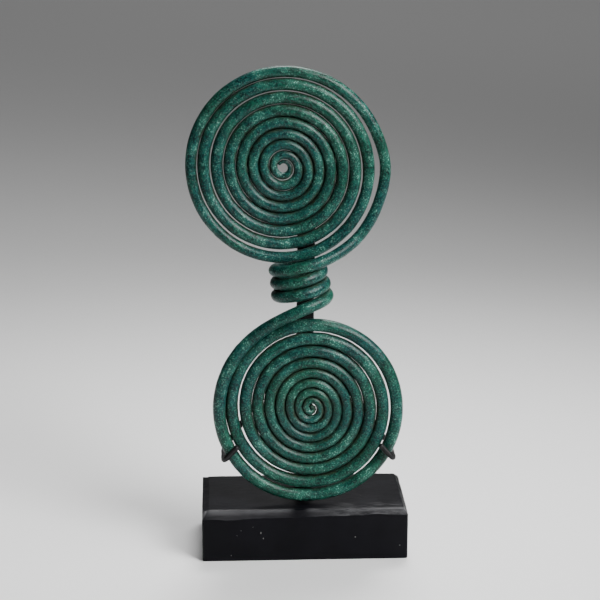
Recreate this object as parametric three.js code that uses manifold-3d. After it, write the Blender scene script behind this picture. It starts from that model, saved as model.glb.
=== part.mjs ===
// A double-spiral brooch, wound from one tapering bronze wire, on the small stand that shows it.
// Millimetres, +Z up, front towards -Y. The origin is the middle of the block's underside.
import * as THREE from 'three';
import { mergeVertices } from 'three/addons/utils/BufferGeometryUtils.js';
import Module from 'manifold-3d';

// Block: a bevelled foot with a slot for the post
const BLOCK_WIDTH = 80;
const BLOCK_DEPTH = 43;
const BLOCK_HEIGHT = 20.3;
const BEVEL_INSET = 2;
const BEVEL_DROP = 2.8;
const CORNER_FLAT = 0.9;
const SLOT_DEPTH = 12;

// Post: a flat bar that leans a little to the right as it goes up from the block
const POST_WIDTH = 6.8;
const POST_THICKNESS = 3;
const POST_SHOWN = 110.9;
const POST_TOP = BLOCK_HEIGHT + POST_SHOWN;
const POST_LEAN = THREE.MathUtils.degToRad(0.78);
const POST_FOOT_X = -0.45;

// Clearances: between separate pieces, and between the neck coil and the post behind it
const FIT_GAP = 0.35;
const COIL_TO_POST = 0.4;

// Heights of the brooch, from the block's top up: lower spiral, neck coil, upper spiral
const LOWER_ABOVE_BLOCK = 39.3;
const COIL_ABOVE_LOWER = 53.45;
const UPPER_ABOVE_COIL = 40.55;
const LOWER_Z = BLOCK_HEIGHT + LOWER_ABOVE_BLOCK;
const COIL_Z = LOWER_Z + COIL_ABOVE_LOWER;
const UPPER_Z = COIL_Z + UPPER_ABOVE_COIL;

// Wire: octagonal here, measured across its flats
const WIRE_SIDES = 8;
const INNER_STEPS = 16;
const OUTER_STEPS = 32;
const OUTER_FROM = 2;
const COIL_SAG = 0.17;
const FULL_TURN = 2 * Math.PI;

// Blunt ends of the wire and the rod: shares of their thickness
const END_REACH = 0.3;
const END_SIZE = 0.55;

// Neck coil: three turns of wire that lean to the left, with an axis that drifts as it goes down
const COIL = {
  x: -2.3, z: COIL_Z, radius: 8.85, pitch: 4.85,
  driftX: 0.75, driftRadius: 0.3,
  thicknessTop: 4, thicknessBottom: 4.35,
  firstTurn: -0.75, lastTurn: 2.14,
};
const COIL_BACK = COIL.radius + 2 * COIL.driftRadius + COIL.thicknessBottom / 2;
const PLANE_Y = -(POST_THICKNESS / 2 + COIL_TO_POST + COIL_BACK);

// Spirals: the radius after a turn is start + pitch * turn + growth * turn ^ 2, opened by the eye.
// Turn 0 points up, and turns count clockwise seen from the front. The centre drifts with every
// turn, the turns are a little oval, and the outermost one slackens and lifts forward to its end.
const UPPER = {
  x: -7.8, z: UPPER_Z, start: 1, pitch: 3.5, growth: 0.113, eye: 2.1,
  driftX: -0.056, driftZ: -0.03, oval: 0.35, ovalTurn: -0.054,
  slackX: 0.45, slackZ: -0.4, settle: 0.13, slackFrom: 7.2, slackTo: 7.6,
  lift: 0, liftFrom: 8,
  firstTurn: -0.14, lastTurn: 8.34,
  tip: 1.25, full: 4.26, taper: 5,
};
const LOWER = {
  x: 2.55, z: LOWER_Z, start: 2.95, pitch: 2.98, growth: 0.171, eye: 0.7,
  driftX: -0.014, driftZ: 0.04, oval: 0.56, ovalTurn: -0.021,
  slackX: 0.6, slackZ: -1.05, settle: -0.08, slackFrom: 7.45, slackTo: 7.65,
  lift: 3.2, liftFrom: 7.63,
  firstTurn: -0.94, lastTurn: 7.87,
  tip: 1.5, full: 4.7, taper: 2.05,
};
const OFF_ROUND_FROM = 10;
const UPPER_HANDLE = 12;
const LOWER_HANDLE = 13.5;
const JOINING_STEPS = 7;

// Cradle: one rod bent to an arch against the post, whose arms run out to the rim of the lower
// spiral, go forward under it and end in claws that turn up in front
const ROD_SIDES = 8;
const ROD_THICKNESS = 1.9;
const ARCH_X = 1.8;
const ARCH_ABOVE_LOWER = 28.9;
const ARCH_PEAK = LOWER_Z + ARCH_ABOVE_LOWER;
const ARCH_BEND = 10.4;
const ARCH_STEPS = 8;
const RIGHT_CLAW_TURN = 0.339;
const LEFT_CLAW_TURN = 0.6655;
const CLAW_UNDER = 0.35;
const CLAW_GAP = 0.6;
const CLAW_BEND = 2.4;
const CLAW_STEPS = 5;
const CLAW_IN = 5;
const CLAW_UP = 5.4;
const ROD_BACK_Y = -(POST_THICKNESS / 2 + FIT_GAP + ROD_THICKNESS / 2);

const turnAngle = (turn) => FULL_TURN * turn;
const smooth = (from, to, value) => THREE.MathUtils.smoothstep(value, from, to);

function spiralRadius(spiral, turn) {
  const angle = turnAngle(turn);
  const even = spiral.start + spiral.pitch * turn + spiral.growth * turn ** 2;
  const opened = Math.cbrt(even ** 3 + spiral.eye ** 3);
  const outside = Math.min(1, opened / OFF_ROUND_FROM);
  const slack = smooth(spiral.slackFrom, spiral.slackTo, turn);
  return opened
    + turn * (spiral.driftX * Math.sin(angle) + spiral.driftZ * Math.cos(angle))
    + outside * spiral.oval * Math.cos(2 * (angle - turnAngle(spiral.ovalTurn)))
    + slack * (spiral.slackX * Math.sin(angle) + spiral.slackZ * Math.cos(angle) - spiral.settle);
}

function spiralPoint(spiral, turn) {
  const angle = turnAngle(turn);
  const radius = spiralRadius(spiral, turn);
  const lift = spiral.lift * smooth(spiral.liftFrom, spiral.lastTurn, turn);
  return new THREE.Vector3(
    spiral.x + radius * Math.sin(angle), PLANE_Y - lift, spiral.z + radius * Math.cos(angle));
}

function spiralThickness(spiral, turn) {
  const wound = (turn - spiral.firstTurn) / (spiral.lastTurn - spiral.firstTurn);
  return spiral.tip + (spiral.full - spiral.tip) * (1 - (1 - wound) ** spiral.taper);
}

// Turns from one end of a spiral to the other, in steps that fall at the same angles in every turn,
// so that neighbouring turns keep their gap; the outer turns take finer steps
function spiralTurns(spiral) {
  const turns = [];
  const everyStep = OUTER_STEPS / INNER_STEPS;
  const lastStep = Math.ceil(spiral.lastTurn * OUTER_STEPS);
  for (let k = Math.floor(spiral.firstTurn * OUTER_STEPS) + 1; k < lastStep; k += 1) {
    const turn = k / OUTER_STEPS;
    if (turn >= OUTER_FROM || k % everyStep === 0) turns.push(turn);
  }
  return [spiral.firstTurn, ...turns, spiral.lastTurn];
}

function coilPoint(turn) {
  const angle = turnAngle(turn);
  const radius = COIL.radius + COIL.driftRadius * turn;
  return new THREE.Vector3(
    COIL.x + COIL.driftX * turn + radius * Math.cos(angle),
    PLANE_Y - radius * Math.sin(angle),
    COIL.z - COIL.pitch * turn + COIL.pitch / 4 * Math.cos(angle));
}

// The way a curve runs at a value, from two points close by
function heading(curve, value, step = 1e-3) {
  return curve(value + step).sub(curve(value - step)).normalize();
}

// A bent stretch of wire between two others, whose thickness changes evenly
function joining(from, fromWay, to, toWay, handle, thickFrom, thickTo) {
  const bend = new THREE.CubicBezierCurve3(
    from, from.clone().addScaledVector(fromWay, handle),
    to.clone().addScaledVector(toWay, -handle), to);
  const stations = [];
  for (let i = 1; i < JOINING_STEPS; i += 1) {
    const part = i / JOINING_STEPS;
    stations.push({
      at: bend.getPoint(part),
      thickness: THREE.MathUtils.lerp(thickFrom, thickTo, part),
      facing: new THREE.Vector3(0, 1, 0),
    });
  }
  return stations;
}

function spiralStations(spiral) {
  return spiralTurns(spiral).map((turn) => ({
    at: spiralPoint(spiral, turn),
    thickness: spiralThickness(spiral, turn),
    facing: new THREE.Vector3(0, 1, 0),
  }));
}

function coilStations() {
  const step = Math.sqrt(8 * COIL_SAG / COIL.radius) / FULL_TURN;
  const count = Math.ceil((COIL.lastTurn - COIL.firstTurn) / step);
  return Array.from({ length: count + 1 }, (_, i) => {
    const part = i / count;
    const turn = THREE.MathUtils.lerp(COIL.firstTurn, COIL.lastTurn, part);
    const angle = turnAngle(turn);
    return {
      at: coilPoint(turn),
      thickness: THREE.MathUtils.lerp(COIL.thicknessTop, COIL.thicknessBottom, part),
      facing: new THREE.Vector3(-Math.cos(angle), Math.sin(angle), 0),
    };
  });
}

// Rings of points joined into one closed skin, with a flat cap on the first and last ring
function loft(rings) {
  const size = rings[0].length;
  const positions = rings.flat().flatMap((point) => point.toArray());
  const index = [];
  for (let i = 0; i + 1 < rings.length; i += 1) {
    for (let k = 0; k < size; k += 1) {
      const a = i * size + k;
      const b = i * size + (k + 1) % size;
      index.push(a, a + size, b, b, a + size, b + size);
    }
  }
  const last = (rings.length - 1) * size;
  for (let k = 1; k + 1 < size; k += 1) {
    index.push(0, k, k + 1, last, last + k + 1, last + k);
  }
  const geometry = new THREE.BufferGeometry();
  geometry.setAttribute('position', new THREE.Float32BufferAttribute(positions, 3));
  geometry.setIndex(index);
  return geometry;
}

// A bar with flat sides along stations; a station without a facing carries on the last one without
// twisting
function bar(stations, sides) {
  const facing = stations[0].facing.clone();
  const rings = stations.map((station, i) => {
    const ahead = stations[Math.min(i + 1, stations.length - 1)].at;
    const behind = stations[Math.max(i - 1, 0)].at;
    const along = ahead.clone().sub(behind).normalize();
    if (station.facing) facing.copy(station.facing);
    facing.addScaledVector(along, -facing.dot(along)).normalize();
    const across = new THREE.Vector3().crossVectors(along, facing);
    const corner = station.thickness / 2 / Math.cos(Math.PI / sides);
    return Array.from({ length: sides }, (_, k) => {
      const angle = FULL_TURN * (k + 0.5) / sides;
      return station.at.clone()
        .addScaledVector(across, corner * Math.cos(angle))
        .addScaledVector(facing, corner * Math.sin(angle));
    });
  });
  return loft(rings);
}

// Adds a short narrower station beyond each end, so that the ends are blunt and not knife-cut
function nipEnds(stations) {
  const nip = (end, inner) => {
    const way = end.at.clone().sub(inner.at).normalize();
    return {
      ...end,
      at: end.at.clone().addScaledVector(way, end.thickness * END_REACH),
      thickness: end.thickness * END_SIZE,
    };
  };
  return [nip(stations[0], stations[1]), ...stations, nip(stations.at(-1), stations.at(-2))];
}

// The way a wire runs through corners, each rounded to its own bend
function roundedWay(corners, bends, steps) {
  const points = [corners[0]];
  for (let i = 1; i + 1 < corners.length; i += 1) {
    const back = corners[i - 1].clone().sub(corners[i]).normalize();
    const on = corners[i + 1].clone().sub(corners[i]).normalize();
    const half = back.angleTo(on) / 2;
    const middleWay = back.clone().add(on).normalize();
    const centre = corners[i].clone().addScaledVector(middleWay, bends[i - 1] / Math.sin(half));
    const start = corners[i].clone().addScaledVector(back, bends[i - 1] / Math.tan(half)).sub(centre);
    const end = corners[i].clone().addScaledVector(on, bends[i - 1] / Math.tan(half)).sub(centre);
    const axis = new THREE.Vector3().crossVectors(start, end).normalize();
    const sweep = start.angleTo(end);
    for (let k = 0; k <= steps[i - 1]; k += 1) {
      points.push(start.clone().applyAxisAngle(axis, sweep * k / steps[i - 1]).add(centre));
    }
  }
  points.push(corners.at(-1));
  return points;
}

function brooch() {
  const upper = spiralStations(UPPER);
  const coil = coilStations();
  const lower = spiralStations(LOWER).reverse();
  const upperWay = heading((turn) => spiralPoint(UPPER, turn), UPPER.lastTurn);
  const lowerWay = heading((turn) => spiralPoint(LOWER, turn), LOWER.lastTurn).negate();
  const intoCoil = joining(
    upper.at(-1).at, upperWay, coil[0].at, heading(coilPoint, COIL.firstTurn),
    UPPER_HANDLE, UPPER.full, COIL.thicknessTop);
  const outOfCoil = joining(
    coil.at(-1).at, heading(coilPoint, COIL.lastTurn), lower[0].at, lowerWay,
    LOWER_HANDLE, COIL.thicknessBottom, LOWER.full);
  return bar(nipEnds([...upper, ...intoCoil, ...coil, ...outOfCoil, ...lower]), WIRE_SIDES);
}

// Corners of one claw, from its tip to the arm's foot, where that part of a turn meets the rim
function clawCorners(partTurn) {
  const rimTurn = Math.floor(LOWER.lastTurn - partTurn) + partTurn;
  const reach = spiralRadius(LOWER, rimTurn) + LOWER.full / 2 + CLAW_UNDER + ROD_THICKNESS / 2;
  const side = Math.sign(Math.sin(turnAngle(partTurn)));
  const x = LOWER.x + reach * Math.sin(turnAngle(partTurn));
  const z = LOWER.z + reach * Math.cos(turnAngle(partTurn));
  const frontY = PLANE_Y - LOWER.full / 2 - CLAW_GAP - ROD_THICKNESS / 2;
  return [
    new THREE.Vector3(x - side * CLAW_IN, frontY, z + CLAW_UP),
    new THREE.Vector3(x, frontY, z),
    new THREE.Vector3(x, ROD_BACK_Y, z),
  ];
}

function cradle() {
  const peak = new THREE.Vector3(ARCH_X, ROD_BACK_Y, ARCH_PEAK);
  const corners = [
    ...clawCorners(LEFT_CLAW_TURN), peak, ...clawCorners(RIGHT_CLAW_TURN).reverse()];
  const bends = [CLAW_BEND, CLAW_BEND, ARCH_BEND, CLAW_BEND, CLAW_BEND];
  const steps = [CLAW_STEPS, CLAW_STEPS, ARCH_STEPS, CLAW_STEPS, CLAW_STEPS];
  const points = roundedWay(corners, bends, steps);
  const stations = points.map((at) => ({ at, thickness: ROD_THICKNESS }));
  stations[0].facing = new THREE.Vector3(0, 1, 0);
  return bar(nipEnds(stations), ROD_SIDES);
}

// The post, or the slot that takes it when it is grown by a gap
function postBar(bottom, grow) {
  const length = POST_TOP - bottom;
  const geometry = new THREE.BoxGeometry(POST_WIDTH + 2 * grow, POST_THICKNESS + 2 * grow, length);
  geometry.translate(0, 0, bottom + length / 2);
  geometry.rotateY(POST_LEAN);
  geometry.translate(POST_FOOT_X, 0, 0);
  return geometry;
}

function blockRing(inset, z) {
  const x = BLOCK_WIDTH / 2 - inset;
  const y = BLOCK_DEPTH / 2 - inset;
  const outline = [
    [x, -y + CORNER_FLAT], [x, y - CORNER_FLAT], [x - CORNER_FLAT, y], [-x + CORNER_FLAT, y],
    [-x, y - CORNER_FLAT], [-x, -y + CORNER_FLAT], [-x + CORNER_FLAT, -y], [x - CORNER_FLAT, -y],
  ];
  return outline.map(([px, py]) => new THREE.Vector3(px, py, z)).reverse();
}

const wasm = await Module();
wasm.setup();

function toSolid(geometry) {
  const bare = geometry.clone();
  bare.deleteAttribute('normal');
  bare.deleteAttribute('uv');
  const merged = mergeVertices(bare);
  return new wasm.Manifold(new wasm.Mesh({
    numProp: 3,
    vertProperties: new Float32Array(merged.attributes.position.array),
    triVerts: new Uint32Array(merged.index.array),
  }));
}

function toGeometry(solid) {
  const mesh = solid.getMesh();
  const geometry = new THREE.BufferGeometry();
  geometry.setAttribute('position', new THREE.Float32BufferAttribute(mesh.vertProperties, 3));
  geometry.setIndex(Array.from(mesh.triVerts));
  return geometry;
}

function block() {
  const body = toSolid(loft([
    blockRing(0, 0), blockRing(0, BLOCK_HEIGHT - BEVEL_DROP), blockRing(BEVEL_INSET, BLOCK_HEIGHT)]));
  const slot = toSolid(postBar(BLOCK_HEIGHT - SLOT_DEPTH - FIT_GAP, FIT_GAP));
  return toGeometry(body.subtract(slot));
}

function piece(name, geometry, colour, roughness, metalness) {
  const material = new THREE.MeshStandardMaterial({ color: colour, roughness, metalness });
  const mesh = new THREE.Mesh(geometry, material);
  geometry.computeVertexNormals();
  mesh.name = name;
  return mesh;
}

const brooch_on_stand = new THREE.Group();
brooch_on_stand.add(
  piece('brooch', brooch(), 0x1c5a4c, 0.38, 0.35),
  piece('stand_block', block(), 0x1b1b1c, 0.45, 0),
  piece('stand_post', postBar(BLOCK_HEIGHT - SLOT_DEPTH, 0), 0x101112, 0.4, 0.1),
  piece('cradle_rod', cradle(), 0x121314, 0.35, 0.1),
);

export default brooch_on_stand;
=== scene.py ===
"""A spectacle-shaped brooch, wound from one bronze wire, on the small painted stand that shows it.

Lengths are worked out in millimetres in the part's own frame and become metres in the mesh.
"""

import math

import bpy
import numpy as np
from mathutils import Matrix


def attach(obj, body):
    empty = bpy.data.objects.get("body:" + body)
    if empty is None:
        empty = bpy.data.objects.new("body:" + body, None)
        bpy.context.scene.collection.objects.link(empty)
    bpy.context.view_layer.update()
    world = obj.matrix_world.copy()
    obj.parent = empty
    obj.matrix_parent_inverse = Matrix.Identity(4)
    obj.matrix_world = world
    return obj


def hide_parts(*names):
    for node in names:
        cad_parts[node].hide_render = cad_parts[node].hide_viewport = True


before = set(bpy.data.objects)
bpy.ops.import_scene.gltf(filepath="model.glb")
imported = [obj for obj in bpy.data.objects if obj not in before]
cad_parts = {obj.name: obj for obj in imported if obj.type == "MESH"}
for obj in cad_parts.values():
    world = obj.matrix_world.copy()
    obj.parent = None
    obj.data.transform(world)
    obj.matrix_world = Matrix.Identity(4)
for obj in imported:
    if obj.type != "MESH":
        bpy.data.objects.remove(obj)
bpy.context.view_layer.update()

MM = 0.001

# Block
BLOCK_WIDTH, BLOCK_DEPTH, BLOCK_HEIGHT = 80.0, 43.0, 20.3
BEVEL_INSET, BEVEL_DROP, CORNER_ROUND, EDGE_EASE = 2.0, 2.8, 0.9, 0.3
FOOT_EASE = ((0.4, 0.0), (0.12, 0.12), (0.0, 0.4))
SIDE_RINGS, EASE_RINGS, BEVEL_RINGS, TOP_RINGS, UNDER_RINGS = 16, 9, 6, 20, 10

# Post
POST_WIDTH, POST_THICKNESS, POST_TOP, POST_FOOT_X = 6.8, 3.0, 131.2, -0.45
POST_LEAN = math.radians(0.78)
POST_SUNK, POST_EASE, POST_RINGS = 11.5, 0.35, 150

# Clearances
FIT_GAP = 0.35
COIL_TO_POST = 0.4

# Neck coil
COIL_X, COIL_Z, COIL_RADIUS, COIL_PITCH = -2.3, 113.05, 8.85, 4.85
COIL_DRIFT_X, COIL_DRIFT_RADIUS = 0.75, 0.3
COIL_TURNS = (-0.75, 2.14)
COIL_THICKNESS, COIL_ROOM = (4.5, 4.72), 4.35
PLANE_Y = -(POST_THICKNESS / 2 + COIL_TO_POST + COIL_RADIUS + 2 * COIL_DRIFT_RADIUS + COIL_ROOM / 2)

# Spirals
UPPER = dict(x=-7.8, z=153.6, start=1.0, pitch=3.5, growth=0.113, eye=2.1, drift_x=-0.056, drift_z=-0.03,
             oval=0.35, oval_turn=-0.054, slack_x=0.45, slack_z=-0.4, settle=0.13, slack_from=7.2,
             slack_to=7.6, lift=0.0, lift_from=8.0, first=-0.14, last=8.34, tip=1.25, full=4.23, taper=5.0,
             kinks=((8.25, 0.04, 0.7),), swell=0.3, swell_to=7.1, centre_swell=0.26,
             outer_swell=0.1)
LOWER = dict(x=2.55, z=59.6, start=2.95, pitch=2.98, growth=0.171, eye=0.7, drift_x=-0.014, drift_z=0.04,
             oval=0.56, oval_turn=-0.021, slack_x=0.6, slack_z=-1.05, settle=-0.08, slack_from=7.45,
             slack_to=7.65, lift=3.2, lift_from=7.63, first=-0.94, last=7.87, tip=1.8, full=4.7, taper=2.05,
             kinks=((6.64, 0.13, 0.35), (7.25, 0.4, 0.15)), swell=0.24, swell_to=8.5, centre_swell=0.36,
             outer_swell=0.08)
OFF_ROUND_FROM = 10.0
HANDLES = (12.0, 12.6)
SPIRAL_STEPS, COIL_STEPS, CROSSING_STEPS = 2400, 700, 120
WIRE_SIDES, WIRE_STEP = 26, 0.8
SHELTER_REACH, SHELTER_APART = 2.0, 9.0

# Cradle rod
ROD_THICKNESS, ROD_ROUND, ARCH_X, ARCH_PEAK, ARCH_BEND = 1.9, 2.15, 1.8, 88.5, 10.4
LEFT_CLAW_TURN, RIGHT_CLAW_TURN = 0.6655, 0.339
CLAW_UNDER, CLAW_GAP, CLAW_BEND, CLAW_IN, CLAW_UP = 0.35, 0.6, 2.4, 5.0, 5.4
ROD_BACK_Y = -(POST_THICKNESS / 2 + FIT_GAP + ROD_THICKNESS / 2)
ROD_SIDES, ROD_STEP = 20, 0.6
BEAD_SIZE, BEAD_OFF_PEAK, BEAD_FORWARD, BEAD_Z = (2.6, 0.95, 1.15), 0.4, 0.75, 80.3

# Rounded ends of the wire and the rod: angles of their rings, and how far out they reach
CAP_ANGLES, CAP_REACH = np.radians([78.0, 56.0, 34.0, 14.0]), 0.75
CAP = len(CAP_ANGLES)


# ---- Shapes ----

def smooth(low, high, value):
    """0 below low, 1 above high, and 3t^2 - 2t^3 between, where t is the share of the way."""
    t = np.clip((value - low) / (high - low), 0.0, 1.0)
    return t * t * (3.0 - 2.0 * t)


def unit(vectors):
    """Each vector divided by its own length."""
    return vectors / np.maximum(np.linalg.norm(vectors, axis=-1, keepdims=True), 1e-12)


def lattice_noise(points, size, seed):
    """Smooth noise from -1 to 1: random numbers on a cubic lattice of that spacing, blended by the
    smooth step between the eight corners round each point."""
    table = np.random.default_rng(seed).uniform(-1.0, 1.0, (32, 32, 32))
    scaled = np.asarray(points) / size
    cell = np.floor(scaled).astype(int)
    part = scaled - cell
    part = part * part * (3.0 - 2.0 * part)
    total = 0.0
    for dx in (0, 1):
        for dy in (0, 1):
            for dz in (0, 1):
                weight = (np.where(dx, part[..., 0], 1 - part[..., 0])
                          * np.where(dy, part[..., 1], 1 - part[..., 1])
                          * np.where(dz, part[..., 2], 1 - part[..., 2]))
                total = total + weight * table[(cell[..., 0] + dx) % 32, (cell[..., 1] + dy) % 32,
                                               (cell[..., 2] + dz) % 32]
    return total


def spiral_radius(shape, turns):
    """Cube root of ((start + pitch t + growth t^2)^3 + eye^3), plus a drift of the centre that grows with
    every turn, an oval that fades in from the centre, the outermost turn's own slack, and bell-shaped
    kinks at some turns. The angle is 2 pi t from straight up, clockwise as seen from the front."""
    angle = 2 * np.pi * turns
    even = shape["start"] + shape["pitch"] * turns + shape["growth"] * turns ** 2
    opened = np.cbrt(even ** 3 + shape["eye"] ** 3)
    slack = smooth(shape["slack_from"], shape["slack_to"], turns)
    kinked = sum(push * np.exp(-((turns - at) / width) ** 2) for at, width, push in shape["kinks"])
    return (opened + kinked
            + turns * (shape["drift_x"] * np.sin(angle) + shape["drift_z"] * np.cos(angle))
            + np.minimum(1.0, opened / OFF_ROUND_FROM) * shape["oval"]
            * np.cos(2 * (angle - 2 * np.pi * shape["oval_turn"]))
            + slack * (shape["slack_x"] * np.sin(angle) + shape["slack_z"] * np.cos(angle)
                       - shape["settle"]))


def spiral(shape, turns):
    """Points of a flat spiral of that radius, whose outermost turn lifts forward to its end."""
    angle, radius = 2 * np.pi * turns, spiral_radius(shape, turns)
    lift = shape["lift"] * smooth(shape["lift_from"], shape["last"], turns)
    return np.stack([shape["x"] + radius * np.sin(angle), PLANE_Y - lift,
                     shape["z"] + radius * np.cos(angle)], -1)


def spiral_thickness(shape, turns):
    """Tip + (full - tip)(1 - (1 - w)^taper), where w is the share of the turns from the tip, and slight
    swells: round the centre, over all the inner turns, and over the last two before the outermost."""
    wound = (turns - shape["first"]) / (shape["last"] - shape["first"])
    swell = shape["swell"] * smooth(shape["swell_to"] + 0.5, shape["swell_to"], turns)
    swell = (swell + shape["centre_swell"] * smooth(3.0, 1.2, turns)
             + shape["outer_swell"] * smooth(4.0, 5.0, turns) * smooth(7.5, 6.9, turns))
    swell = swell * smooth(shape["first"] + 0.1, shape["first"] + 0.8, turns)
    return shape["tip"] + (shape["full"] - shape["tip"]) * (1 - (1 - wound) ** shape["taper"]) + swell


def neck_coil(turns):
    """Points of a helix whose axis drifts and whose radius grows as it goes down, leaning so that
    each front crossing slopes and each back crossing is level."""
    angle = 2 * np.pi * turns
    radius = COIL_RADIUS + COIL_DRIFT_RADIUS * turns
    return np.stack([COIL_X + COIL_DRIFT_X * turns + radius * np.cos(angle),
                     PLANE_Y - radius * np.sin(angle),
                     COIL_Z - COIL_PITCH * turns + COIL_PITCH / 4 * np.cos(angle)], -1)


def crossing(before, after, handle):
    """A cubic curve between two stretches that leaves and arrives along their own directions."""
    t = np.linspace(0.0, 1.0, CROSSING_STEPS)[1:-1, None]
    start, end = before[-1], after[0]
    a = start + unit(before[-1] - before[-2]) * handle
    b = end - unit(after[1] - after[0]) * handle
    return (1 - t) ** 3 * start + 3 * (1 - t) ** 2 * t * a + 3 * (1 - t) * t ** 2 * b + t ** 3 * end


def wire_course(spacing):
    """The wire's centreline from the upper tip to the lower tip, evenly spaced: places, thickness,
    the direction that its front side faces, and the length along it."""
    upper_turns = np.linspace(UPPER["first"], UPPER["last"], SPIRAL_STEPS)
    coil_turns = np.linspace(*COIL_TURNS, COIL_STEPS)
    lower_turns = np.linspace(LOWER["last"], LOWER["first"], SPIRAL_STEPS)
    upper, coil, lower = spiral(UPPER, upper_turns), neck_coil(coil_turns), spiral(LOWER, lower_turns)
    into, out = crossing(upper, coil, HANDLES[0]), crossing(coil, lower, HANDLES[1])
    places = np.concatenate([upper, into, coil, out, lower])
    thickness = np.concatenate([
        spiral_thickness(UPPER, upper_turns), np.linspace(UPPER["full"], COIL_THICKNESS[0], len(into)),
        np.linspace(*COIL_THICKNESS, len(coil)), np.linspace(COIL_THICKNESS[1], LOWER["full"], len(out)),
        spiral_thickness(LOWER, lower_turns)])
    angle = 2 * np.pi * coil_turns
    front = np.array([0.0, 1.0, 0.0])
    facing = np.concatenate([
        np.tile(front, (len(upper) + len(into), 1)),
        np.stack([-np.cos(angle), np.sin(angle), np.zeros_like(angle)], -1),
        np.tile(front, (len(out) + len(lower), 1))])
    along = np.concatenate([[0.0], np.cumsum(np.linalg.norm(np.diff(places, axis=0), axis=1))])
    even = np.linspace(0.0, along[-1], int(along[-1] / spacing))
    pick = lambda values: np.stack([np.interp(even, along, column) for column in values.T], -1)
    return pick(places), np.interp(even, along, thickness), unit(pick(facing)), even


def swept(places, radii, facing, sides):
    """A closed bar: at each place a ring at right angles to the course, radii[i, k] out at the angle
    2 pi k / sides from the across direction; the rings close in to rounded ends."""
    along = unit(np.gradient(places, axis=0))
    facing = unit(facing - np.sum(facing * along, -1, keepdims=True) * along)
    across = np.cross(along, facing)
    angle = 2 * np.pi * np.arange(sides) / sides
    cosine, sine = np.cos(angle)[None, :, None], np.sin(angle)[None, :, None]
    outward = across[:, None] * cosine + facing[:, None] * sine
    rings = places[:, None] + outward * radii[..., None]

    def cap(ring, centre, way, size):
        """The end ring drawn in by the cosine of each angle while it moves out by the sine."""
        return [centre + way * size * CAP_REACH * math.sin(a) + (ring - centre) * math.cos(a)
                for a in CAP_ANGLES]

    head = cap(rings[0], places[0], -along[0], radii[0].mean())
    tail = cap(rings[-1], places[-1], along[-1], radii[-1].mean())[::-1]
    return np.concatenate([np.array(head), rings, np.array(tail)]), outward


def tube_faces(rings, sides):
    """Four-sided faces between neighbouring rings, wound so that they point outwards, with the pole
    at each end as fans of triangles."""
    i, k = np.meshgrid(np.arange(rings - 1), np.arange(sides), indexing="ij")
    a, b = i * sides + k, i * sides + (k + 1) % sides
    quads = np.stack([a, a + sides, b + sides, b], -1).reshape(-1, 4)
    k = np.arange(sides)
    first, last, base = rings * sides, rings * sides + 1, (rings - 1) * sides
    head = np.stack([np.full(sides, first), k, (k + 1) % sides], -1)
    tail = np.stack([np.full(sides, last), base + (k + 1) % sides, base + k], -1)
    return quads, np.concatenate([head, tail])


def with_poles(rings, first, last):
    """All points of the rings in one row, then the poles that close the two ends."""
    return np.concatenate([rings.reshape(-1, 3), np.array([first, last])])


def make_piece(name, points, quads, triangles, finish, replaced=(), values=None):
    """A mesh object from whole arrays of points in millimetres and faces, riding on the root body."""
    mesh = bpy.data.meshes.new(name)
    faces = quads.tolist() + triangles.tolist()
    mesh.from_pydata((points * MM).tolist(), [], faces)
    mesh.polygons.foreach_set("use_smooth", np.ones(len(faces), bool))
    for key, column in (values or {}).items():
        mesh.attributes.new(key, "FLOAT", "POINT").data.foreach_set("value", column.astype(np.float32))
    mesh.materials.append(finish)
    mesh.update()
    piece = bpy.data.objects.new(name, mesh)
    bpy.context.scene.collection.objects.link(piece)
    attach(piece, "root")
    if replaced:
        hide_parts(*replaced)
    return piece


def shelter_of(points, places, radii, along, at):
    """How closely another turn of the wire stands by each point: 1 where they touch and 0 from 2 mm
    away, from the distance to the centreline of every stretch at least 9 mm further along."""
    nearest = np.full(len(points), SHELTER_APART)
    coarse, batch = slice(None, None, 3), 4000
    centres, radii, along = places[coarse], radii[coarse], along[coarse]
    for start in range(0, len(points), batch):
        chosen = slice(start, start + batch)
        part = points[chosen]
        squared = (part ** 2).sum(1)[:, None] + (centres ** 2).sum(1)[None] - 2 * part @ centres.T
        away = np.sqrt(np.maximum(squared, 0.0)) - radii[None]
        away[np.abs(at[chosen, None] - along[None]) < SHELTER_APART] = SHELTER_APART
        nearest[chosen] = away.min(1)
    return np.clip(1.0 - nearest / SHELTER_REACH, 0.0, 1.0)


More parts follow.
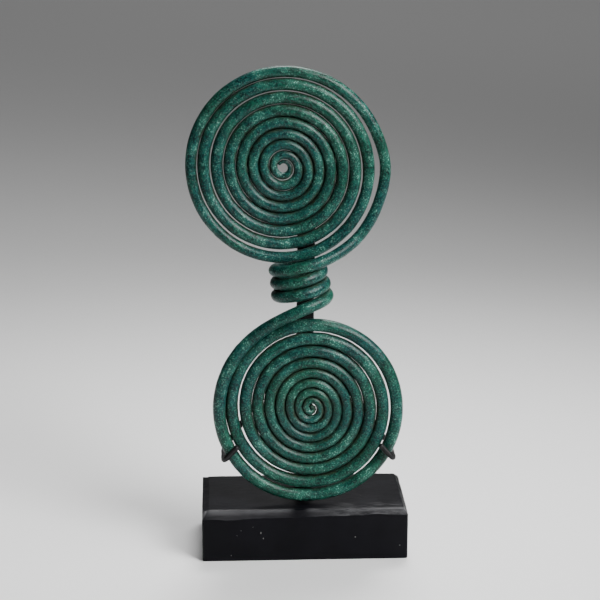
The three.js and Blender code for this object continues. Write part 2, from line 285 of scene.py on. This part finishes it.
def wound_wire(finish):
    """The brooch: a round wire swept along its course, a little uneven as hand-drawn wire is, with
    shallow dents and swellings from smooth noise."""
    places, thickness, facing, along = wire_course(WIRE_STEP)
    angle = 2 * np.pi * np.arange(WIRE_SIDES) / WIRE_SIDES
    stretch = np.stack([along / 9.0, np.zeros_like(along), np.zeros_like(along)], -1)
    uneven = 0.995 + 0.010 * lattice_noise(stretch, 1.0, 3)
    squash_way = np.pi * lattice_noise(stretch + 40.0, 2.5, 4)
    squash = 0.010 * np.cos(2 * (angle[None] - squash_way[:, None]))
    radii = thickness[:, None] / 2 * (uneven[:, None] + squash)
    rings, outward = swept(places, radii, facing, WIRE_SIDES)
    skin = rings[CAP:-CAP]
    dents = 0.03 * lattice_noise(skin, 2.6, 5) + 0.014 * lattice_noise(skin, 1.1, 6)
    pits = -0.05 * smooth(0.62, 0.95, lattice_noise(skin, 1.9, 7))
    rings[CAP:-CAP] = skin + outward * (dents + pits - 0.01)[..., None]
    at = np.concatenate([np.full(CAP, along[0]), along, np.full(CAP, along[-1])]).repeat(WIRE_SIDES)
    at = np.concatenate([at, [along[0], along[-1]]])
    points = with_poles(rings, rings[0].mean(0), rings[-1].mean(0))
    shelter = shelter_of(points, places, thickness / 2, along, at)
    quads, ends = tube_faces(len(rings), WIRE_SIDES)
    return make_piece("wound_wire", points, quads, ends, finish, ["brooch"],
                      {"shelter": shelter})


def rounded_way(corners, bends, steps):
    """Points along straight lines between corners, each corner rounded by an arc that touches both."""
    points = [corners[0]]
    for before, corner, after, bend, count in zip(corners, corners[1:], corners[2:], bends, steps):
        back, on = unit(before - corner), unit(after - corner)
        half = math.acos(float(np.clip(back @ on, -1, 1))) / 2
        centre = corner + unit(back + on) * bend / math.sin(half)
        start = corner + back * bend / math.tan(half) - centre
        end = corner + on * bend / math.tan(half) - centre
        sweep = math.acos(float(np.clip(start @ end / bend ** 2, -1, 1)))
        share = np.linspace(0.0, 1.0, count + 1)[:, None]
        arc = start * np.sin((1 - share) * sweep) + end * np.sin(share * sweep)
        points.extend(centre + arc / math.sin(sweep))
    points.append(corners[-1])
    return np.array(points)


def claw_corners(part_turn):
    """Corners of one claw from its tip to the arm's foot, just outside the lower spiral's rim."""
    angle = 2 * math.pi * part_turn
    rim_turn = math.floor(LOWER["last"] - part_turn) + part_turn
    reach = spiral_radius(LOWER, rim_turn) + LOWER["full"] / 2 + CLAW_UNDER + ROD_THICKNESS / 2
    x, z = LOWER["x"] + reach * math.sin(angle), LOWER["z"] + reach * math.cos(angle)
    front_y = PLANE_Y - LOWER["full"] / 2 - CLAW_GAP - ROD_THICKNESS / 2
    tip_x = x - math.copysign(CLAW_IN, math.sin(angle))
    tip, front, foot = (tip_x, front_y, z + CLAW_UP), (x, front_y, z), (x, ROD_BACK_Y, z)
    return [np.array(tip), np.array(front), np.array(foot)]


def bent_rod(finish):
    """The cradle: one round rod through its rounded corners, from claw to claw."""
    peak = np.array([ARCH_X, ROD_BACK_Y, ARCH_PEAK])
    way = rounded_way(claw_corners(LEFT_CLAW_TURN) + [peak] + claw_corners(RIGHT_CLAW_TURN)[::-1],
                      [CLAW_BEND, CLAW_BEND, ARCH_BEND, CLAW_BEND, CLAW_BEND], [10, 10, 18, 10, 10])
    along = np.concatenate([[0.0], np.cumsum(np.linalg.norm(np.diff(way, axis=0), axis=1))])
    even = np.linspace(0.0, along[-1], int(along[-1] / ROD_STEP))
    places = np.stack([np.interp(even, along, column) for column in way.T], -1)
    forward = unit(np.gradient(places, axis=0))
    facing = np.empty_like(places)
    facing[0] = (0.0, 1.0, 0.0)
    for i in range(1, len(places)):
        carried = facing[i - 1] - (facing[i - 1] @ forward[i]) * forward[i]
        facing[i] = carried / np.linalg.norm(carried)
    radii = np.full((len(places), ROD_SIDES), ROD_ROUND / 2)
    rings, outward = swept(places, radii, facing, ROD_SIDES)
    rings[CAP:-CAP] += outward * (0.018 * lattice_noise(rings[CAP:-CAP], 1.7, 11))[..., None]
    points = with_poles(rings, rings[0].mean(0), rings[-1].mean(0))
    quads, ends = tube_faces(len(rings), ROD_SIDES)
    return make_piece("bent_rod", points, quads, ends, finish, ["cradle_rod"])


def rounded_outline(per_side, per_corner):
    """Signs, side shares and outward directions of a rounded rectangle's points, anticlockwise from
    above: place = core * (half - corner) + outward * corner."""
    corners = np.array([(1.0, 1.0), (-1.0, 1.0), (-1.0, -1.0), (1.0, -1.0)])
    core, outward = [], []
    for quarter in range(4):
        start = quarter * np.pi / 2
        turn = np.linspace(0.0, np.pi / 2, per_corner) + start
        sign, following = corners[quarter], corners[(quarter + 1) % 4]
        core.append(np.tile(sign, (per_corner, 1)))
        outward.append(np.stack([np.cos(turn), np.sin(turn)], -1))
        count = per_side[quarter % 2]
        share = np.linspace(0.0, 1.0, count + 2)[1:-1, None]
        core.append(sign + (following - sign) * share)
        outward.append(np.tile([math.cos(start + np.pi / 2), math.sin(start + np.pi / 2)], (count, 1)))
    return np.concatenate(core), np.concatenate(outward)


def flat_post(finish):
    """The post: a rounded rectangle carried up the leaning axis, its top edge eased by an arc."""
    core, outward = rounded_outline((6, 12), 5)
    half = np.array([POST_WIDTH / 2, POST_THICKNESS / 2])
    foot, ease = BLOCK_HEIGHT - POST_SUNK, np.radians(np.linspace(0, 90, 6))
    straight = np.linspace(foot, POST_TOP - POST_EASE, POST_RINGS)
    heights = np.concatenate([straight, POST_TOP - POST_EASE + POST_EASE * np.sin(ease[1:])])
    inset = np.concatenate([np.zeros(POST_RINGS), POST_EASE * (1 - np.cos(ease[1:]))])
    corner = np.maximum(POST_EASE - inset, 0.002)[:, None, None]
    flat = core[None] * (half - POST_EASE)[None, None] + outward[None] * corner
    rings = np.concatenate([flat, np.broadcast_to(heights[:, None, None], flat.shape[:2] + (1,))], -1)
    rings[..., :2] += outward[None] * (0.02 * lattice_noise(rings, 3.2, 21) - 0.02)[..., None]
    cosine, sine = math.cos(POST_LEAN), math.sin(POST_LEAN)
    lean = np.array([[cosine, 0, sine], [0, 1, 0], [-sine, 0, cosine]])
    rings = rings @ lean.T + np.array([POST_FOOT_X, 0, 0])
    points = with_poles(rings, rings[0].mean(0), rings[-1].mean(0))
    quads, ends = tube_faces(len(rings), rings.shape[1])
    return make_piece("flat_post", points, quads[:, ::-1], ends[:, ::-1], finish,
                      ["stand_post"])


def solder_bead(finish):
    """The small bead that fixes the rod to the post: an ellipsoid, a little lumpy."""
    across, up = np.meshgrid(np.linspace(0, 2 * np.pi, 29)[:-1], np.linspace(0, np.pi, 18)[1:-1])
    size, tall = np.array(BEAD_SIZE), np.array([0, 0, BEAD_SIZE[2]])
    middle = np.array([ARCH_X - BEAD_OFF_PEAK, -(POST_THICKNESS / 2 + BEAD_FORWARD), BEAD_Z])
    ball = np.stack([np.cos(across) * np.sin(up), np.sin(across) * np.sin(up), np.cos(up)], -1)
    rings = middle + ball * size * (1 + 0.08 * lattice_noise(ball * 3.0, 1.4, 31))[..., None]
    points = with_poles(rings, middle + tall, middle - tall)
    quads, ends = tube_faces(len(rings), rings.shape[1])
    return make_piece("solder_bead", points, quads, ends, finish)


def painted_block(finish):
    """The block: a rounded rectangle carried from the middle of the underside out to its edge, up the
    sides, over a worn bevel whose drop and inset wander, and back in to the middle of the top."""
    core, outward = rounded_outline((46, 92), 7)
    half = np.array([BLOCK_WIDTH / 2, BLOCK_DEPTH / 2]) - CORNER_ROUND
    edge = core * half + outward * CORNER_ROUND
    around = np.concatenate([edge, np.zeros((len(edge), 1))], -1)
    leftward, left_side = smooth(45.0, -45.0, edge[:, 0]), smooth(-0.9, -1.0, outward[:, 0])
    drop = BEVEL_DROP * (0.62 + 0.5 * leftward + 0.14 * lattice_noise(around, 7.0, 41)
                         + 0.05 * lattice_noise(around, 2.2, 42))
    drop = drop * (1 - 0.7 * left_side)
    inset = BEVEL_INSET * (0.95 + 0.25 * leftward + 0.12 * lattice_noise(around + 90, 8.0, 43))

    def ring(inward, height):
        """Pairs of inset and height, one for each point round the edge, as rings."""
        shape = (len(height), len(edge))
        return np.stack([np.broadcast_to(inward, shape), np.broadcast_to(height, shape)], -1)

    t = np.linspace(0, 1, EASE_RINGS)[:, None]
    low_arc = ring(EDGE_EASE * t ** 2,
                   BLOCK_HEIGHT - drop - EDGE_EASE * (1 - t) ** 2 + EDGE_EASE * 0.6 * t ** 2)
    top_arc = ring(inset - EDGE_EASE * (1 - t) ** 2 + EDGE_EASE * t,
                   BLOCK_HEIGHT - 0.55 * EDGE_EASE * (1 - t) ** 2)
    slope = np.linspace(0, 1, BEVEL_RINGS + 2)[1:-1, None, None]
    bevel = low_arc[-1][None] * (1 - slope) + top_arc[0][None] * slope
    foot = np.array(FOOT_EASE)
    wall = np.linspace(1.2, BLOCK_HEIGHT - drop.max() - 1.2, SIDE_RINGS)
    side_in = np.concatenate([foot[:, 0], np.zeros(SIDE_RINGS)])
    side_z = np.concatenate([foot[:, 1], wall])
    side = ring(side_in[:, None], side_z[:, None])
    profile = np.concatenate([side, low_arc, bevel, top_arc])
    flat = core[None] * (half[None, None] - profile[..., :1]) + outward[None] * CORNER_ROUND
    shell = np.concatenate([flat, profile[..., 1:]], -1)

    shrink = np.linspace(1, 0, TOP_RINGS + 2)[1:-1, None, None]
    level = np.full((TOP_RINGS, len(edge), 1), BLOCK_HEIGHT)
    top = np.concatenate([shell[-1][None, :, :2] * shrink, level], -1)
    flat_zero = np.zeros((UNDER_RINGS, len(edge), 1))
    under = np.concatenate([shell[0][None, :, :2] * shrink[::-1][::2], flat_zero], -1)
    rings = np.concatenate([under, shell, top])
    walls, over = slice(UNDER_RINGS, UNDER_RINGS + len(shell)), UNDER_RINGS + len(side)
    normal = np.concatenate([outward, np.zeros((len(edge), 1))], -1)
    rings[walls] += normal[None] * (0.05 * lattice_noise(rings[walls], 9.0, 44) - 0.05)[..., None]
    rings[over:, :, 2] += 0.03 * lattice_noise(rings[over:], 6.0, 45) - 0.03

    points = with_poles(rings, (0, 0, 0), (0, 0, BLOCK_HEIGHT - 0.03))
    quads, ends = tube_faces(len(rings), len(edge))
    above = np.zeros(rings.shape[:2])
    above[over + EASE_RINGS // 2:-1] = 1.0
    return make_piece("painted_block", points, quads[:, ::-1], ends[:, ::-1], finish,
                      ["stand_block"], {"above": np.concatenate([above.reshape(-1), [0.0, 1.0]])})


# ---- Finishes ----

class Field:
    """A socket of a finish, so that sums of numbers over the surface read as plain expressions."""

    def __init__(self, finish, socket):
        self.finish, self.socket = finish, socket

    def maths(self, operation, first, second):
        """One Math node on two numbers or fields."""
        return self.finish.node("ShaderNodeMath", {"operation": operation}, {0: first, 1: second})

    def __add__(self, other):
        return self.maths("ADD", self, other)

    def __rsub__(self, other):
        return self.maths("SUBTRACT", other, self)

    def __mul__(self, other):
        return self.maths("MULTIPLY", self, other)

    __radd__, __rmul__ = __add__, __mul__

    def over(self, low, high):
        """0 below low and 1 above high, smoothly between."""
        return self.finish.node("ShaderNodeMapRange", {"interpolation_type": "SMOOTHSTEP"},
                                {"Value": self, "From Min": low, "From Max": high})


class Finish:
    """One material and the calls that add its nodes."""

    def __init__(self, name):
        self.material = bpy.data.materials.new(name)
        self.material.use_nodes = True
        self.tree = self.material.node_tree
        self.tree.nodes.clear()
        self.place = self.node("ShaderNodeTexCoord", {}, {}, "Object")

    def node(self, kind, settings=None, inputs=None, output=0):
        """Add a node of that kind, set its settings and then its sockets, and hand back one output."""
        node = self.tree.nodes.new(kind)
        for key, value in (settings or {}).items():
            setattr(node, key, value)
        for key, value in (inputs or {}).items():
            if isinstance(value, Field):
                self.tree.links.new(value.socket, node.inputs[key])
            else:
                node.inputs[key].default_value = value
        return Field(self, node.outputs[output] if node.outputs else None)

    def noise(self, size, detail=2.0, rough=0.5, place=None, twist=0.0):
        """Noise about 0.5 whose features are that many millimetres across."""
        return self.node("ShaderNodeTexNoise", {}, {
            "Vector": place or self.place, "Scale": 1.0 / (size * MM), "Detail": detail,
            "Roughness": rough, "Distortion": twist})

    def mix(self, share, first, second):
        """The first colour where share is 0 and the second where it is 1."""
        return self.node("ShaderNodeMix", {"data_type": "RGBA"}, {0: share, 6: first, 7: second}, 2)

    def mapped(self, scale=(1, 1, 1), turn=(0, 0, 0)):
        """The place on the piece, stretched by axis and turned."""
        return self.node("ShaderNodeMapping", {},
                         {"Vector": self.place, "Scale": scale, "Rotation": turn})

    def spot(self, middle, size, stretch=(1, 1, 1)):
        """1 at a point of the piece and 0 from that many millimetres away, stretched by axis."""
        shifted = self.node("ShaderNodeVectorMath", {"operation": "SUBTRACT"},
                            {0: self.place, 1: tuple(c * MM for c in middle)})
        squeezed = self.node("ShaderNodeVectorMath", {"operation": "MULTIPLY"},
                             {0: shifted, 1: tuple(1 / (s * size * MM) for s in stretch)})
        away = self.node("ShaderNodeVectorMath", {"operation": "LENGTH"}, {0: squeezed}, "Value")
        return away.over(1.0, 0.5)

    def axis(self, letter):
        """How far along one axis of the frame, in millimetres."""
        return self.node("ShaderNodeSeparateXYZ", {}, {"Vector": self.place}, letter) * (1 / MM)

    def attribute(self, name):
        """A value that the piece's own mesh carries from point to point."""
        return self.node("ShaderNodeAttribute", {"attribute_name": name}, {}, "Fac")

    def surface(self, colour, roughness, heights=(), uniform=None, **values):
        """The closing shader. heights are (height, depth in millimetres) pairs that shade as relief."""
        normal = None
        for height, depth in heights:
            inputs = {"Height": height, "Distance": depth * MM, "Strength": 1.0}
            if normal is not None:
                inputs["Normal"] = normal
            normal = self.node("ShaderNodeBump", {}, inputs)
        inputs = {"Base Color": colour, "Roughness": roughness, **(uniform or {}), **values}
        if normal is not None:
            inputs["Normal"] = normal
        shader = self.node("ShaderNodeBsdfPrincipled", {}, inputs)
        self.node("ShaderNodeOutputMaterial", {}, {"Surface": shader})
        return self.material


def linear(red, green, blue):
    """A colour given as a screen's 0 to 255 values, as light."""
    level = lambda c: (c / 255 / 12.92) if c <= 10 else ((c / 255 + 0.055) / 1.055) ** 2.4
    return (level(red), level(green), level(blue), 1.0)


def patinated_bronze():
    """Dark green patina, waxed: drifts between green and blue-green, stippled dark and pale like fine
    grain, with olive earth on the flanks and near-black painted shade in the gaps between turns."""
    f = Finish("patinated_bronze_finish")
    shelter = f.attribute("shelter")
    drift = f.noise(24.0, 2.0, 0.5, twist=0.6).over(0.38, 0.62)
    stipple = f.noise(0.7, 3.0, 0.65).over(0.42, 0.60)
    cloud = f.noise(3.2, 3.0, 0.6).over(0.34, 0.66)
    grain = f.noise(0.55, 2.0, 0.5).over(0.55, 0.68)
    worn = f.noise(6.0, 3.0, 0.6).over(0.46, 0.70)
    body = f.mix(drift, linear(11, 71, 56), linear(10, 67, 63))
    dark = f.mix(drift, linear(1, 18, 15), linear(1, 17, 20))
    colour = f.mix(stipple * 0.7 + cloud * 0.3, dark, body)
    colour = f.mix(worn * 0.28, colour, linear(46, 108, 92))
    colour = f.mix(grain * (0.16 + 0.44 * worn), colour, linear(124, 176, 158))
    flank = shelter.over(0.12, 0.6) * (0.25 + 0.75 * f.noise(5.0, 3.0, 0.6).over(0.4, 0.64))
    colour = f.mix(flank * 0.7, colour, linear(38, 42, 26))
    # Painted shade: near-black where another turn stands close, in the gaps between turns; these spots are
    # also made rougher
    gap_shade = shelter.over(0.5, 0.95)
    colour = f.mix(gap_shade * 0.85, colour, linear(7, 12, 9))
    rough = 0.30 + 0.12 * stipple + 0.30 * gap_shade
    return f.surface(colour, rough, [(f.noise(0.6, 3.0, 0.6), 0.11), (grain, 0.02)],
                     {"Metallic": 0.0, "IOR": 1.5, "Specular IOR Level": 0.2})


def black_metal():
    """Satin black paint on metal: faint brush-on unevenness and a little dust."""
    f = Finish("black_metal_finish")
    dust = f.noise(0.6, 2.0, 0.5).over(0.66, 0.78)
    cloud = f.noise(6.0, 3.0, 0.55).over(0.35, 0.65)
    colour = f.mix(cloud, linear(9, 10, 11), linear(17, 17, 18))
    colour = f.mix(dust * 0.25, colour, linear(110, 108, 102))
    return f.surface(colour, 0.36 + 0.12 * cloud, [(f.noise(0.9, 3.0, 0.6), 0.02)],
                     {"IOR": 1.5, "Specular IOR Level": 0.25})


# Nicks in the front of the block: across and up, size, and how tall for that size
FRONT_NICKS = ((-17.2, 11.6, 0.26, 1.9), (-16.3, 9.3, 0.24, 1.5), (19.4, 9.3, 0.3, 0.9),
               (36.8, 5.6, 0.24, 1.0), (-26.5, 10.6, 0.2, 0.5), (-24.9, 12.6, 0.26, 0.45),
               (-28.8, 2.4, 0.2, 1.2), (-20.3, 14.0, 0.16, 0.6))


def black_paint():
    """Satin black paint on wood: the front bevel rubbed to grey, with a soft pale painted highlight along
    its upper edge, both left out in the middle as a painted dark reflection of the post, streaks that
    spread on to the top at the right, and a few small nicks on the front."""
    f = Finish("black_paint_finish")
    above = f.attribute("above").over(0.2, 0.8)
    x, y = f.axis("X"), f.axis("Y")
    cloud = f.noise(14.0, 4.0, 0.6).over(0.35, 0.65)
    streak = f.noise(1.5, 4.0, 0.65, f.mapped((0.2, 0.6, 1.0), (0, 0, 0.35))).over(0.42, 0.66)
    long_streak = f.noise(3.0, 3.0, 0.6, f.mapped((0.16, 1.0, 1.0))).over(0.36, 0.64)
    # Painted reflection: 0 in the middle, round x = -2 mm, where the post's dark reflection falls, so the
    # pale bevel and the painted highlight are left out there
    outside_post_reflection = 1 - x.over(-8.0, -3.0) * x.over(4.0, -1.0)
    right = x.over(3.0, 16.0) * x.over(42.0, 34.0)
    bevel = y.over(-18.4, -19.6) * above * outside_post_reflection
    # Painted highlight: a soft pale band along the upper edge of the bevel, where the rounded edge catches
    # the light
    edge_highlight = y.over(-17.4, -19.2) * y.over(-20.9, -19.3) * above * outside_post_reflection
    spread = y.over(-10.5, -18.5) * above * right
    speck = f.noise(0.7, 1.5, 0.5).over(0.755, 0.81)
    colour = f.mix(cloud, linear(6, 6, 9), linear(10, 10, 14))
    colour = f.mix(bevel * (0.05 + 0.07 * long_streak), colour, linear(96, 96, 98))
    colour = f.mix(edge_highlight * (0.05 + 0.22 * long_streak), colour, linear(110, 110, 112))
    colour = f.mix(spread * streak * 0.30, colour, linear(104, 104, 106))
    colour = f.mix(above * speck * 0.3, colour, linear(120, 120, 118))
    nicks = 0.0
    for nick_x, nick_z, size, tall in FRONT_NICKS:
        nicks = f.spot((nick_x, -BLOCK_DEPTH / 2, nick_z), size, (1.0, 6.0, tall)) + nicks
    colour = f.mix(nicks * 0.6, colour, linear(140, 140, 138))
    rough = 0.36 + 0.12 * cloud + 0.10 * streak
    relief = [(f.noise(3.0, 3.0, 0.55), 0.05), (streak * spread, 0.05), (1 - nicks, 0.12)]
    return f.surface(colour, rough, relief,
                     {"IOR": 1.5, "Specular IOR Level": 0.08})


def pale_floor():
    """Plain matt pale grey, for the stage alone."""
    f = Finish("pale_floor_finish")
    return f.surface(linear(214, 214, 214), 0.85)


bronze, metal, paint = patinated_bronze(), black_metal(), black_paint()
wound_wire(bronze)
bent_rod(metal)
flat_post(metal)
solder_bead(metal)
painted_block(paint)


# ---- Floor, light and camera ----

def laid_flat(name, corners, height, finish):
    """A flat sheet of the stage between two corners, at a height in metres."""
    (x0, y0), (x1, y1) = corners
    mesh = bpy.data.meshes.new(name)
    outline = [(x0, y0, height), (x1, y0, height), (x1, y1, height), (x0, y1, height)]
    mesh.from_pydata(outline, [], [(0, 1, 2, 3)])
    mesh.materials.append(finish)
    sheet = bpy.data.objects.new(name, mesh)
    bpy.context.scene.collection.objects.link(sheet)


def soft_light(name, place, target, size, power, spread=180):
    """An area light at a place in metres, turned to face the target, its beam that many degrees wide."""
    light = bpy.data.lights.new(name, "AREA")
    light.shape, light.size, light.size_y, light.energy = "RECTANGLE", size[0], size[1], power
    light.spread = math.radians(spread)
    lamp = bpy.data.objects.new(name, light)
    way = np.array(place) - np.array(target)
    lamp.location = place
    tip, turn = math.acos(way[2] / np.linalg.norm(way)), math.atan2(way[1], way[0])
    lamp.rotation_euler = (tip, 0, turn + math.pi / 2)
    bpy.context.scene.collection.objects.link(lamp)


def camera():
    """At the photograph's viewing angle: 674 mm in front, 275 mm up, looking 14.7 degrees down, the
    object turned 2.5 degrees."""
    turn, pitch = math.radians(2.517), math.radians(14.673)
    place = (-1.15, -673.59)
    data = bpy.data.cameras.new("camera")
    data.lens, data.sensor_width, data.clip_start = 108.0, 36.0, 0.01
    eye = bpy.data.objects.new("camera", data)
    eye.location = ((place[0] * math.cos(turn) + place[1] * math.sin(turn)) * MM,
                    (-place[0] * math.sin(turn) + place[1] * math.cos(turn)) * MM, 275.41 * MM)
    eye.rotation_euler = (math.pi / 2 - pitch, 0, -turn)
    bpy.context.scene.collection.objects.link(eye)
    bpy.context.scene.camera = eye


laid_flat("floor", ((-6, -3), (6, 9)), 0.0, pale_floor())
middle = (0.0, 0.0, 0.09)
soft_light("front_window", (0.6, -0.6, 0.7), middle, (0.5, 0.5), 3.3, 60)
soft_light("right_window", (0.74, -0.24, 0.74), middle, (0.5, 0.6), 0.7, 60)
soft_light("rim_box", (0.1, 0.4, 0.75), middle, (0.4, 0.3), 1.1, 60)
soft_light("left_fill", (-0.7, -0.7, 0.30), middle, (0.35, 0.8), 0.2, 90)
soft_light("overhead", (0.2, 1.5, 3.0), (0.0, 1.2, 0.0), (2.0, 2.0), 25.0)
soft_light("back_panel", (0.0, 3.4, 0.9), middle, (3.0, 1.4), 4.5)
world = bpy.data.worlds.new("studio")
bpy.context.scene.world = world
world.use_nodes = True
world.node_tree.nodes["Background"].inputs["Color"].default_value = (0.55, 0.55, 0.56, 1)
world.node_tree.nodes["Background"].inputs["Strength"].default_value = 0.01
camera()
